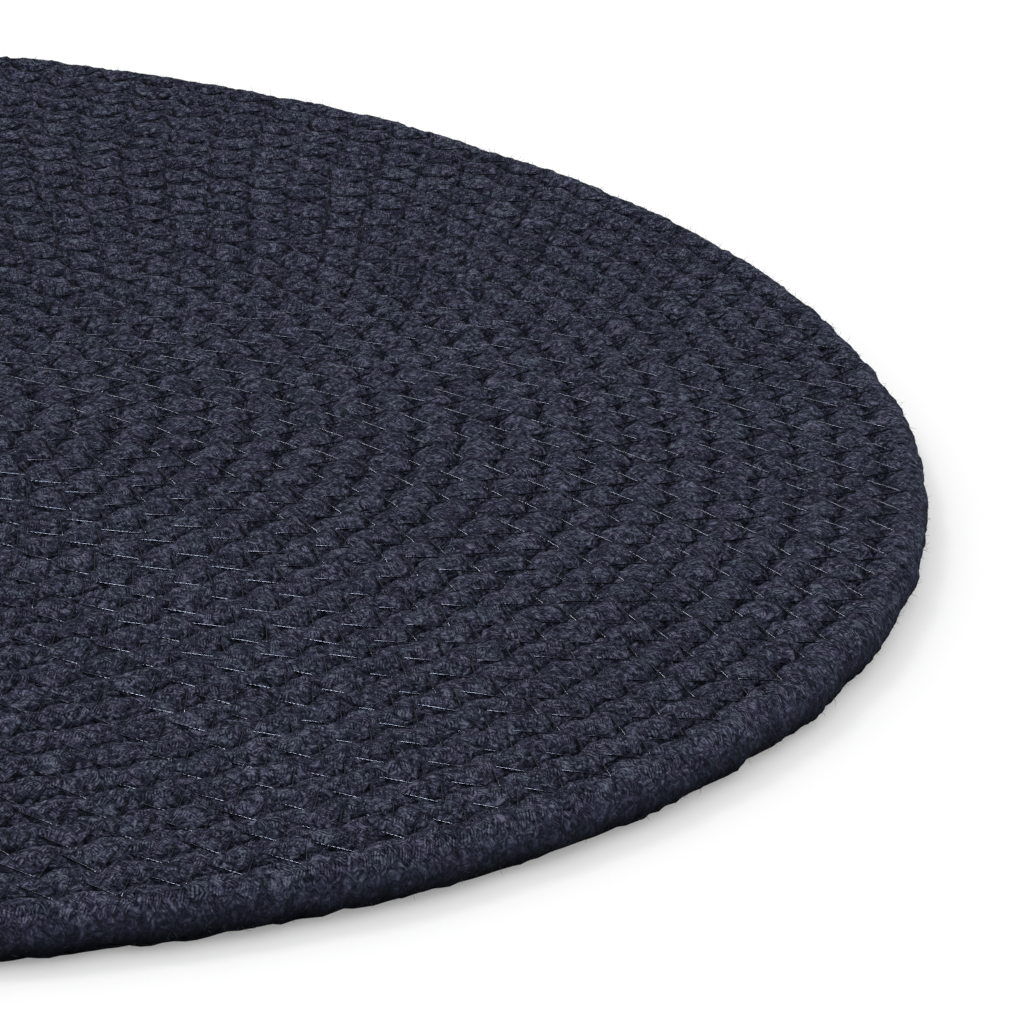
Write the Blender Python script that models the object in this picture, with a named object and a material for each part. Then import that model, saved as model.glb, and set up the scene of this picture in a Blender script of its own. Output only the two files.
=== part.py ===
"""Round placemat: one length of braided cotton cord, coiled flat and sewn turn to turn.

The mat is a single solid. Its top is ridged by the turns of the cord, its rim is the round
outer side of the last turn, and its underside is flat where it lies on the table. The cord
starts in a small open eye in the middle and thins away into the rim where it ends.
Units are metres, +Z is up, and the origin is in the middle of the underside.
"""

import math

import bmesh
import bpy
from mathutils import Vector

# Driving dimensions.
CORD_THICKNESS = 0.0080  # height of the cord as it lies
COIL_PITCH = 0.00712  # one turn to the next, where the stitches draw the turns together
SEAM_DEPTH = 0.0021  # how far the seam between two turns lies below their tops
TOP_WIDTH = 0.0030  # the cord's top, before it rounds down to a seam
RIM_WIDTH = 0.0040  # middle of the last turn to the outermost point of the rim
EYE_RADIUS = 0.0050  # middle of the coil to the middle of the cord where it starts
WHOLE_TURNS = 25
LAST_STEPS = 41  # steps of the unfinished last turn
STEPS_PER_TURN = 60
START_ANGLE = math.radians(91.1)  # direction in which the cord starts
TAPER_STEPS = 9  # steps over which the cord's end thins into the rim
RIM_ANGLES = (45.0, 0.0, -45.0, -90.0)  # rows down the rim, in degrees above its widest point

# Finish of the dyed cotton.
COTTON_COLOUR = (0.031, 0.035, 0.054, 1.0)
COTTON_ROUGHNESS = 0.92
SMOOTH_UP_TO = math.radians(60.0)

# Worked out from the sizes above.
CORD_STEPS = WHOLE_TURNS * STEPS_PER_TURN + LAST_STEPS
HALF_HEIGHT = CORD_THICKNESS / 2.0
HALF_TOP = TOP_WIDTH / 2.0
RIM_ROUNDING = RIM_WIDTH - HALF_TOP


def clear_scene():
    """Remove every object, so that the model starts from nothing."""
    for thing in list(bpy.data.objects):
        bpy.data.objects.remove(thing, do_unlink=True)


def cord_radius(step):
    """Distance from the coil's middle to the middle of the cord after so many steps."""
    return EYE_RADIUS + COIL_PITCH * step / STEPS_PER_TURN


def fullness(step):
    """1 along the cord, falling smoothly to 0 where its end meets the rim."""
    left = (CORD_STEPS - step) / TAPER_STEPS
    if left >= 1.0:
        return 1.0
    return math.sin(left * math.pi / 2.0)


def place(step, offset, height):
    """A point beside the middle of the cord, given for the full cord.

    The cord's end draws it in to the rim of the turn before, at half the cord's height.
    The coil winds outwards clockwise.
    """
    full = fullness(step)
    previous_rim = cord_radius(step - STEPS_PER_TURN) + RIM_WIDTH
    radius = previous_rim + (cord_radius(step) + offset - previous_rim) * full
    angle = START_ANGLE - 2.0 * math.pi * step / STEPS_PER_TURN
    return radius * math.cos(angle), radius * math.sin(angle), height


def raised(step, above_half):
    """A height above the cord's middle, less where the cord thins out."""
    return HALF_HEIGHT + above_half * fullness(step)


def seam_point(step):
    """A point of the seam along the inner side of the cord."""
    return place(step, -COIL_PITCH / 2.0, raised(step, HALF_HEIGHT - SEAM_DEPTH))


def top_point(step, offset):
    """A point of the cord's top, beside its middle."""
    return place(step, offset, raised(step, HALF_HEIGHT))


def rim_point(step, degrees):
    """A point of the last turn's outer side, at an angle above or below its widest point."""
    turn = math.radians(degrees)
    offset = HALF_TOP + RIM_ROUNDING * math.cos(turn)
    above_half = HALF_HEIGHT * math.sin(turn)
    if degrees > 0.0:
        return place(step, offset, raised(step, above_half))
    widest = Vector(place(step, RIM_WIDTH, HALF_HEIGHT))
    inwards = Vector((widest.x, widest.y, 0.0)).normalized() * (RIM_WIDTH - offset)
    return widest - inwards + Vector((0.0, 0.0, above_half))


def add_points(mesh):
    """Add the points of the seam, the top's two edges and the rim, each row as a list."""
    steps = range(CORD_STEPS)
    seam = [mesh.verts.new(seam_point(step)) for step in steps]
    inner_top = [mesh.verts.new(top_point(step, -HALF_TOP)) for step in steps]
    outer_top = [mesh.verts.new(top_point(step, HALF_TOP)) for step in steps]
    rim = []
    for degrees in RIM_ANGLES:
        rim.append([mesh.verts.new(rim_point(step, degrees)) for step in steps[-STEPS_PER_TURN:]])
    return seam, inner_top, outer_top, rim


def add_eye(mesh, seam, inner_top, outer_top):
    """Close the open middle at the seam's height, and the cord's cut start."""
    for step in range(1, STEPS_PER_TURN):
        mesh.faces.new((seam[0], seam[step], seam[step + 1]))
    mesh.faces.new((seam[0], seam[STEPS_PER_TURN], outer_top[0], inner_top[0]))


def add_strip(mesh, inner, outer, steps):
    """Join two rows of points with four-sided faces over the given steps."""
    for step in steps:
        mesh.faces.new((inner[step], inner[step + 1], outer[step + 1], outer[step]))


def add_turns(mesh, seam, inner_top, outer_top):
    """Raise the cord from its inner seam, over its top, and down to the next turn's seam."""
    add_strip(mesh, seam, inner_top, range(CORD_STEPS - 1))
    add_strip(mesh, inner_top, outer_top, range(CORD_STEPS - 1))
    next_seam = seam[STEPS_PER_TURN:]
    add_strip(mesh, outer_top, next_seam, range(len(next_seam) - 1))


def add_rim(mesh, seam, inner_top, outer_top, rim):
    """Turn the last turn's outer side down to the underside, and close the cord's end."""
    last_top = outer_top[-STEPS_PER_TURN:]
    shoulder, widest = rim[0], rim[1]
    end = widest[0]
    turn_before = outer_top[-STEPS_PER_TURN - 1]
    mesh.faces.new((turn_before, last_top[0], shoulder[0], end, seam[-1]))
    add_strip(mesh, last_top, shoulder, range(STEPS_PER_TURN - 1))
    add_strip(mesh, shoulder, widest, range(STEPS_PER_TURN - 1))
    rows_at_end = (seam, inner_top, outer_top, shoulder, widest)
    for inner, outer in zip(rows_at_end, rows_at_end[1:]):
        mesh.faces.new((inner[-1], end, outer[-1]))
    for above, below in zip(rim[1:], rim[2:]):
        add_strip(mesh, above + above[:1], below + below[:1], range(STEPS_PER_TURN))
    mesh.faces.new(rim[-1])


def centre_over_origin(mesh):
    """Move the coil sideways until the middle of its outline stands over the origin."""
    across = [point.co.x for point in mesh.verts]
    along = [point.co.y for point in mesh.verts]
    shift_x = (min(across) + max(across)) / 2.0
    shift_y = (min(along) + max(along)) / 2.0
    bmesh.ops.translate(mesh, verts=mesh.verts, vec=(-shift_x, -shift_y, 0.0))


def cotton():
    """The dyed cotton of the cord."""
    material = bpy.data.materials.new("navy_cotton")
    material.use_nodes = True
    shader = material.node_tree.nodes["Principled BSDF"]
    shader.inputs["Base Color"].default_value = COTTON_COLOUR
    shader.inputs["Roughness"].default_value = COTTON_ROUGHNESS
    shader.inputs["Metallic"].default_value = 0.0
    return material


def coiled_cord():
    """The whole mat: the coiled cord as one closed solid."""
    mesh = bmesh.new()
    seam, inner_top, outer_top, rim = add_points(mesh)
    add_eye(mesh, seam, inner_top, outer_top)
    add_turns(mesh, seam, inner_top, outer_top)
    add_rim(mesh, seam, inner_top, outer_top, rim)
    centre_over_origin(mesh)
    bmesh.ops.recalc_face_normals(mesh, faces=mesh.faces)
    data = bpy.data.meshes.new("coiled_cord")
    mesh.to_mesh(data)
    mesh.free()
    data.materials.append(cotton())
    data.shade_smooth()
    data.set_sharp_from_angle(angle=SMOOTH_UP_TO)
    mat = bpy.data.objects.new("coiled_cord", data)
    bpy.context.scene.collection.objects.link(mat)
    return mat


clear_scene()
coiled_cord()
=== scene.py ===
"""Looks of the round placemat: a braided cotton cord, coiled flat and sewn turn to turn.

The cord's skin, the zigzag of sewing thread on both faces and the stray cotton fibres are built
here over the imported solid, which they replace. Lengths are in metres and +Z is up. The coil's sizes
are those of the solid, so that every turn of the skin lies on its turn there.
"""

import logging
import math
from dataclasses import dataclass
from dataclasses import field
from enum import Enum

import bpy
import numpy as np
from mathutils import Matrix
from mathutils import Vector


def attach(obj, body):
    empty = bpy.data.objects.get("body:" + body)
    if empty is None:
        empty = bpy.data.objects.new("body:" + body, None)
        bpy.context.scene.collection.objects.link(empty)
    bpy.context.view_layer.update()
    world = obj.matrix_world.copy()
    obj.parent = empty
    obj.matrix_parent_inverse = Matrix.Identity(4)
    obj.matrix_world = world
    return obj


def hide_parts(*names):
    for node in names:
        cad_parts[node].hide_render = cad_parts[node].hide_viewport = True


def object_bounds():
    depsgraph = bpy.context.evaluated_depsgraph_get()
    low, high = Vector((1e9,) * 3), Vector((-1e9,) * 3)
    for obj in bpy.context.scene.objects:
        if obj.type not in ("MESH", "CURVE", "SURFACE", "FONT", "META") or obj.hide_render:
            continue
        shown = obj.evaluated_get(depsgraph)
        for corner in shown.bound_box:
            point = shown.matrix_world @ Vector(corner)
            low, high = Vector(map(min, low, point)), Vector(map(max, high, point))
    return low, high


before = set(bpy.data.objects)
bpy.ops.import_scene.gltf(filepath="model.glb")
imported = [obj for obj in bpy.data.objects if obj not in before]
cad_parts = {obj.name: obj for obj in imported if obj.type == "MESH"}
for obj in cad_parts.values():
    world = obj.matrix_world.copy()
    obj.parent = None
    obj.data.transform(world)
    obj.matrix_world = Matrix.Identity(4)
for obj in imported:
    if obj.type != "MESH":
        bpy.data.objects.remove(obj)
CAD_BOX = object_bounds()

Array = np.ndarray
Socket = bpy.types.NodeSocket
Outputs = bpy.types.NodeOutputs
Tree = bpy.types.NodeTree
Piece = bpy.types.Object
Material = bpy.types.Material
Colour = tuple[float, float, float]
Point = tuple[float, float, float]
Span = tuple[float, float]
WHITE = (1.0, 1.0, 1.0, 1.0)
MM = 0.001
JOIN_WITHIN = 0.0001 * MM
CAD_NODE = "coiled_cord"
BODY = "root"
PHOTO_PIXELS = 1024
SENSOR_WIDTH = 36.0

log = logging.getLogger("placemat")


class Face(Enum):
    """A face of the mat, by the direction in which it looks."""

    TOP = 1.0
    UNDERSIDE = -1.0


def unit(vectors: Array) -> Array:
    """Vectors in the same directions, each one long."""
    return vectors / np.linalg.norm(vectors, axis=-1, keepdims=True)


def smooth(share: Array) -> Array:
    """A share from 0 to 1, eased at both ends."""
    return share * share * (3.0 - 2.0 * share)


def bell(away: Array) -> Array:
    """1 at no distance, falling smoothly to 0 as the distance grows."""
    return np.exp(-(away**2))


def round_steps(count: int) -> Array:
    """Directions of a tube's corners, evenly spaced round it."""
    return np.linspace(0.0, 2.0 * math.pi, count, endpoint=False)


@dataclass(frozen=True)
class SoftNoise:
    """Seeded soft unevenness over a plane, from -1 to 1."""

    seed: int
    columns: int = 4096
    rows: int = 64

    def at(self, x: Array, y: Array) -> Array:
        """Read the unevenness at points of the plane.

        Args:
            x: Places along the cord, in lumps.
            y: Places across it, in lumps.

        Returns:
            The unevenness at each point.
        """
        table = np.random.default_rng(self.seed).uniform(-1.0, 1.0, (self.columns, self.rows))
        column, row = np.floor(x).astype(int), np.floor(y).astype(int)
        along, across = smooth(x - column), smooth(y - row)
        near = self.between(table, column, row, across)
        far = self.between(table, column + 1, row, across)
        return near + (far - near) * along

    def between(self, table: Array, column: Array, row: Array, across: Array) -> Array:
        """Read the table in a column, at a share of the way from one row to the next."""
        first, second = (table[column % self.columns, (row + step) % self.rows] for step in (0, 1))
        return first + (second - first) * across


@dataclass(frozen=True)
class Coil:
    """The flat spiral of the cord, which winds outwards clockwise seen from above."""

    pitch: float = 7.12 * MM
    eye_radius: float = 5.0 * MM
    steps_per_turn: int = 60
    steps: int = 25 * 60 + 41
    taper_steps: int = 9
    start_angle: float = math.radians(91.1)
    cord_height: float = 8.0 * MM
    rim_width: float = 4.0 * MM
    tuck_turns: float = 1.2
    smallest_radius: float = 0.05 * MM

    @property
    def turns(self) -> float:
        """Number of turns from the cord's start to its end."""
        return self.steps / self.steps_per_turn

    @property
    def half_height(self) -> float:
        """Height of the cord's middle above the table."""
        return self.cord_height / 2.0

    def radius(self, turn: Array) -> Array:
        """Distance from the coil's middle to the cord's middle."""
        return self.eye_radius + self.pitch * turn

    def angle(self, turn: Array) -> Array:
        """Direction of the cord's middle, seen from the coil's middle."""
        return self.start_angle - 2.0 * math.pi * turn

    def length(self, turn: Array, inset: float = 0.0) -> Array:
        """Length up to a turn along the cord's middle, or along a line so far inside it."""
        return 2.0 * math.pi * ((self.eye_radius - inset) * turn + self.pitch * turn**2 / 2.0)

    def turn_at(self, length: Array, inset: float = 0.0) -> Array:
        """Turns up to a length along the cord's middle, or along a line so far inside it."""
        start = self.eye_radius - inset
        return (-start + np.sqrt(start**2 + self.pitch * length / math.pi)) / self.pitch

    def fullness(self, turn: Array) -> Array:
        """1 along the cord, falling smoothly to 0 where its end meets the rim."""
        left = (self.turns - turn) * self.steps_per_turn / self.taper_steps
        return np.sin(np.clip(left, 0.0, 1.0) * math.pi / 2.0)

    def thinned(self, turn: Array, radius: Array) -> Array:
        """Distances from the coil's middle, with the cord's end drawn in to the rim before it."""
        previous_rim = self.radius(turn - 1.0) + self.rim_width
        return previous_rim + (radius - previous_rim) * self.fullness(turn)

    def middle(self) -> Vector:
        """Place of the coil's middle, which lies beside the middle of the mat's outline."""
        turn = np.arange(self.steps - self.steps_per_turn, self.steps) / self.steps_per_turn
        rim = self.thinned(turn, self.radius(turn) + self.rim_width)
        across, along = rim * np.cos(self.angle(turn)), rim * np.sin(self.angle(turn))
        return Vector((-(across.min() + across.max()) / 2.0, -(along.min() + along.max()) / 2.0, 0.0))


@dataclass
class ZigzagSeam:
    """The zigzag stitch that joins each turn to the next, the same on both faces."""

    coil: Coil
    leg_length: float = 4.5 * MM
    reach: float = 3.2 * MM
    length_slack: float = 0.36 * MM
    reach_slack: float = 0.24 * MM
    rest_height: float = 3.50 * MM
    height_slack: float = 0.14 * MM
    dive: float = 0.45 * MM
    dive_share: float = 0.05
    seed: int = 41
    lengths: Array = field(init=False)
    reaches: Array = field(init=False)
    heights: Array = field(init=False)

    def __post_init__(self) -> None:
        """Place every needle hole along the seam, with a sewer's small unevenness."""
        whole = self.coil.length(self.coil.turns, self.coil.pitch / 2.0)
        count = int(whole / self.leg_length)
        rng = np.random.default_rng(self.seed)
        self.lengths = (np.arange(count) + 0.5) * self.leg_length
        self.lengths += rng.normal(0.0, self.length_slack, count)
        self.reaches = self.reach + rng.normal(0.0, self.reach_slack, count)
        self.heights = self.rest_height + rng.normal(0.0, self.height_slack, count)

    def count_at(self, turn: Array) -> Array:
        """Needle holes passed up to a turn, with fractions between two holes."""
        lowest = -(self.coil.eye_radius - self.coil.pitch / 2.0) / self.coil.pitch
        length = self.coil.length(np.maximum(turn, lowest), self.coil.pitch / 2.0)
        return np.interp(length, self.lengths, np.arange(len(self.lengths)))

    def beside(self, turn: Array, offset: Array, outer: bool) -> tuple[Array, Array]:
        """Place points of the cord beside the holes in one of its two seams.

        Args:
            turn: Turns from the cord's start.
            offset: Distance of each point outwards from the cord's middle.
            outer: True for the seam on the cord's outer side.

        Returns:
            Stitches along the seam, whole at each hole in this cord, and the distance from the
            seam, scaled so that each hole lies at the seam's even reach.
        """
        holes = self.count_at(turn + 1.0) if outer else self.count_at(turn)
        shift = 1.0 if outer else 0.0
        stitches = (holes + shift) / 2.0
        from_seam = self.coil.pitch / 2.0 + (-offset if outer else offset)
        hole = np.clip(np.round(stitches) * 2.0 - shift, 0, len(self.reaches) - 1).astype(int)
        return stitches, from_seam * self.reach / self.reaches[hole]

    def rise(self, share: Array) -> Array:
        """Even height of the thread above the cord's middle, at a share of the way along a leg."""
        ends = bell(share / self.dive_share) + bell((1.0 - share) / self.dive_share)
        return self.rest_height - self.dive * ends


@dataclass(frozen=True)
class Braid:
    """The braid of the cord's cover: strands of parallel yarns that cross over and under."""

    cell_along: float = 2.1 * MM
    cell_across: float = 4.19 * MM
    relief: float = 0.24 * MM
    end_drop: float = 4.0

    def height(self, along: Array, across: Array) -> Array:
        """Height of the strands' backs.

        Args:
            along: Place along the cord.
            across: Place round the cord.

        Returns:
            The height, from 0 in the gaps to 1 on a strand's back.
        """
        first = along / self.cell_along + across / self.cell_across
        second = along / self.cell_along - across / self.cell_across
        over = (np.floor(first) + np.floor(second)) % 2.0
        first, second = first % 1.0, second % 1.0
        side = np.where(over < 0.5, first, second)
        run = np.where(over < 0.5, second, first)
        back = 1.0 - (2.0 * side - 1.0) ** 2
        return back * (1.0 - np.abs(2.0 * run - 1.0) ** self.end_drop)


@dataclass
class CordSkin:
    """The cord's surface: its pressed section, the braid, and what the stitches do to it."""

    coil: Coil
    seam: ZigzagSeam
    braid: Braid
    pressed_width: float = 4.0 * MM
    pressed_power: float = 2.4
    lump: float = 0.34 * MM
    lump_place: float = 1.8 * MM
    lump_spread: float = 1.3 * MM
    squeeze: float = 0.5
    squeeze_spread: float = 1.7 * MM
    groove_spread: float = 0.75 * MM
    groove_depth: float = 0.46 * MM
    buried_share: float = 0.24
    thread_radius: float = 0.10 * MM
    wander: float = 0.36 * MM
    wander_length: float = 5.5 * MM
    weave: float = 0.60 * MM
    weave_power: float = 1.6
    swell: float = 0.22 * MM
    swell_length: float = 45.0 * MM
    fine_lumps: float = 0.28 * MM
    fine_length: float = 1.9 * MM
    broad_lumps: float = 0.22 * MM
    broad_length: float = 8.0 * MM
    warp: float = 0.45 * MM
    warp_length: float = 3.2 * MM
    warp_row: float = 7.0
    lump_row: float = 9.0
    swell_start: Span = (50.0, 20.0)
    tight_below: float = 0.999
    far_turns: float = 10.0
    narrow_power: float = 0.7
    join_start: float = 0.65
    overlap: float = 0.20 * MM
    table_size: int = 400

    def freedom(self, turn: Array) -> Array:
        """1 where the cord's outer side is the rim, and 0 where a next turn presses on it."""
        return 1.0 - self.coil.fullness(turn + 1.0)

    def pressed_section(self, around: Array) -> tuple[Array, Array]:
        """The section of a cord pressed between its neighbours, evenly paced.

        Args:
            around: Place round the section, 0 at the crest and 1 or -1 at a seam.

        Returns:
            The distance from the cord's middle sideways, and the rise above it.
        """
        power = 2.0 / self.pressed_power
        last = math.asin((self.coil.pitch / 2.0 / self.pressed_width) ** (1.0 / power))
        turn = np.linspace(0.0, last, self.table_size)
        offset = self.pressed_width * np.sin(turn) ** power
        rise = self.coil.half_height * np.cos(turn) ** power
        pace = np.concatenate(([0.0], np.cumsum(np.hypot(np.diff(offset), np.diff(rise)))))
        share = np.abs(around)
        out = np.interp(share, pace / pace[-1], offset)
        return np.sign(around) * out, np.interp(share, pace / pace[-1], rise)

    def free_section(self, around: Array) -> tuple[Array, Array]:
        """Sideways and upward places on the rim's round outer side, whose widest point is at 1."""
        turn = around * math.pi / 2.0
        return self.coil.rim_width * np.sin(turn), self.coil.half_height * np.cos(turn)

    def section(self, turn: Array, around: Array) -> tuple[Array, Array]:
        """The cord's section without relief.

        Args:
            turn: Turns from the cord's start.
            around: Place round the section.

        Returns:
            The distance from the cord's middle sideways, and the rise above it.
        """
        offset, rise = self.pressed_section(np.clip(around, -1.0, 1.0))
        free_offset, free_rise = self.free_section(np.maximum(around, 0.0))
        free = self.freedom(turn) * (around > 0.0)
        return offset + (free_offset - offset) * free, rise + (free_rise - rise) * free

    def outward(self, offset: Array, rise: Array) -> tuple[Array, Array]:
        """Direction straight out of the section, as sideways and upward shares."""
        side = offset / self.pressed_width**2
        up = rise / self.coil.half_height**2
        size = np.hypot(side, up)
        return side / size, up / size

    def stitches(self, turn: Array, offset: Array) -> list[tuple[Array, Array]]:
        """Where points lie beside the inner and the outer seam's needle holes.

        Args:
            turn: Turns from the cord's start.
            offset: Distance of each point outwards from the cord's middle.

        Returns:
            For each seam, the stitches along it and the distance from it.
        """
        inner = self.seam.beside(turn, offset, outer=False)
        stitch, gap = self.seam.beside(turn, offset, outer=True)
        far = self.far_turns * self.coil.pitch
        return [inner, (stitch, gap + far * (self.freedom(turn) > 0.0))]

    def press(self, rise: Array, stitch: Array, gap: Array) -> Array:
        """How far one seam's legs of thread press the cord down.

        Args:
            rise: Rise of each point before the thread presses on it.
            stitch: Stitches along the seam, whole at a hole in this cord.
            gap: Distance from the seam.

        Returns:
            The depth at each point.
        """
        along = np.abs(stitch - np.round(stitch)) * 2.0 * self.seam.leg_length
        across = gap - self.seam.reach
        leg_across = -2.0 * self.seam.reach
        size = self.seam.leg_length**2 + leg_across**2
        share = np.clip((along * self.seam.leg_length + across * leg_across) / size, 0.0, 1.0)
        away = np.hypot(along - share * self.seam.leg_length, across - share * leg_across)
        below = rise - self.seam.rise(share) + self.thread_radius
        held = np.clip(np.minimum(share, 1.0 - share) / self.buried_share, 0.0, 1.0)
        below = np.clip(below, 0.0, self.groove_depth) * held
        return below * bell(away / self.groove_spread)

    def braid_place(self, turn: Array, around: Array, face: Face) -> tuple[Array, Array]:
        """Place of each point in the braid, with the strands drawn towards the needle holes.

        Args:
            turn: Turns from the cord's start.
            around: Place round the section.
            face: The face of the mat.

        Returns:
            Places along and round the cord.
        """
        offset, rise = self.section(turn, around)
        quarter = math.pi / 2.0 * self.coil.half_height
        along = self.coil.length(turn) + 0.0 * around
        across = around * quarter
        for stitch, gap in self.stitches(turn, offset):
            past = (stitch - np.round(stitch)) * 2.0 * self.seam.leg_length
            beyond = gap - self.seam.reach
            pull = self.squeeze * bell(np.hypot(past, beyond) / self.squeeze_spread)
            along = along + past * pull
            across = across + beyond * pull
        if face is Face.UNDERSIDE:
            across = 2.0 * quarter - across
        place = (along / self.warp_length, across / self.warp_length + self.warp_row)
        return (
            along + self.warp * SoftNoise(seed=11).at(*place),
            across + self.warp * SoftNoise(seed=12).at(*place),
        )

    def relief(self, turn: Array, around: Array, face: Face) -> Array:
        """Height of the braid, the lumps between stitches and the cotton's unevenness.

        Args:
            turn: Turns from the cord's start.
            around: Place round the section.
            face: The face of the mat.

        Returns:
            The height straight out of the section.
        """
        along, across = self.braid_place(turn, around, face)
        height = self.braid.relief * (self.braid.height(along, across) - 0.5)
        for stitch, gap in self.stitches(turn, self.section(turn, around)[0]):
            between = 0.5 - 0.5 * np.cos(2.0 * math.pi * stitch)
            height = height + self.lump * (between - 0.5) * bell((gap - self.lump_place) / self.lump_spread)
        for seed, lumps, length in (
            (13, self.fine_lumps, self.fine_length),
            (14, self.broad_lumps, self.broad_length),
        ):
            height = height + lumps * SoftNoise(seed).at(along / length, across / length + self.lump_row)
        return height

    def joined(self, turn: Array, around: Array, height: Array) -> Array:
        """Even out the relief where a turn runs into its neighbours, so that no gap opens.

        Args:
            turn: Turns from the cord's start.
            around: Place round the section.
            height: Height of the relief.

        Returns:
            The height, which ends a little inside the neighbour at each seam.
        """
        share = smooth(np.clip((np.abs(around) - self.join_start) / (1.0 - self.join_start), 0.0, 1.0))
        share = share * np.where(around > 0.0, 1.0 - self.freedom(turn), 1.0)
        return height + (self.overlap - height) * share

    def seam_wander(self, turn: Array, around: Array) -> Array:
        """How far the seams' unevenness shifts each point outwards.

        Args:
            turn: Turns from the cord's start.
            around: Place round the section.

        Returns:
            The shift at each point.
        """
        noise = SoftNoise(seed=15)
        inner = noise.at(self.coil.length(turn) / self.wander_length, 0.0 * turn)
        outer = noise.at(self.coil.length(turn + 1.0) / self.wander_length, 0.0 * turn)
        share = (np.clip(around, -1.0, 1.0) + 1.0) / 2.0
        return self.wander * (inner + (outer - inner) * share)

    def seam_weave(self, turn: Array, around: Array) -> Array:
        """How far the cord bulges over its seams between its own needle holes.

        Args:
            turn: Turns from the cord's start.
            around: Place round the section.

        Returns:
            The shift outwards at each point.
        """
        inner = np.cos(math.pi * self.seam.count_at(turn))
        outer = np.cos(math.pi * self.seam.count_at(turn + 1.0)) * (1.0 - self.freedom(turn))
        near_inner = np.clip(-around, 0.0, 1.0) ** self.weave_power
        near_outer = np.clip(around, 0.0, 1.0) ** self.weave_power
        return self.weave * (inner * near_inner + outer * near_outer)

    def points(self, turn: Array, around: Array, face: Face) -> Array:
        """Points of the cord's surface.

        Args:
            turn: Turns from the cord's start.
            around: Place round the section, 0 at the crest and 1 or -1 at a seam.
            face: The face of the mat.

        Returns:
            The points, in an array whose last side is x, y and z.
        """
        offset, rise = self.section(turn, around)
        side, up = self.outward(offset, rise)
        height = self.joined(turn, around, self.relief(turn, around, face))
        bare_offset, edge = offset, self.pressed_section(np.ones(1))[1]
        offset, rise = offset + side * height, rise + up * height
        presses = [self.press(rise, *stitch) for stitch in self.stitches(turn, bare_offset)]
        rise = rise - np.maximum(*presses)
        half = self.coil.pitch / 2.0
        inner = np.maximum(self.coil.radius(turn) - half, self.coil.smallest_radius)
        outer = np.maximum(self.coil.radius(turn) + half, 2.0 * self.coil.smallest_radius)
        narrow = np.minimum((outer - inner) / self.coil.pitch, 1.0)
        tight = narrow < self.tight_below
        rise = np.where(tight, edge + (rise - edge) * narrow**self.narrow_power, rise)
        shift = self.seam_wander(turn, around) + self.seam_weave(turn, around)
        radius = (inner + outer) / 2.0 + (offset + shift) * narrow
        radius = np.where(tight, np.maximum(radius, inner), radius)
        radius = np.where(self.coil.fullness(turn) < 1.0, self.coil.thinned(turn, radius), radius)
        angle = self.coil.angle(turn)
        middle = self.coil.middle()
        x, y = middle.x + radius * np.cos(angle), middle.y + radius * np.sin(angle)
        if face is Face.TOP:
            first, second = self.swell_start
            broad = SoftNoise(seed=16).at(x / self.swell_length + first, y / self.swell_length + second)
            rise = rise + self.swell * broad * np.clip(rise / self.coil.half_height, 0.0, 1.0)
        rise = np.minimum(rise, self.coil.half_height) if face is Face.UNDERSIDE else rise
        z = self.coil.half_height + face.value * rise * self.coil.fullness(turn)
        return np.stack(np.broadcast_arrays(x, y, z), axis=-1)


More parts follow.
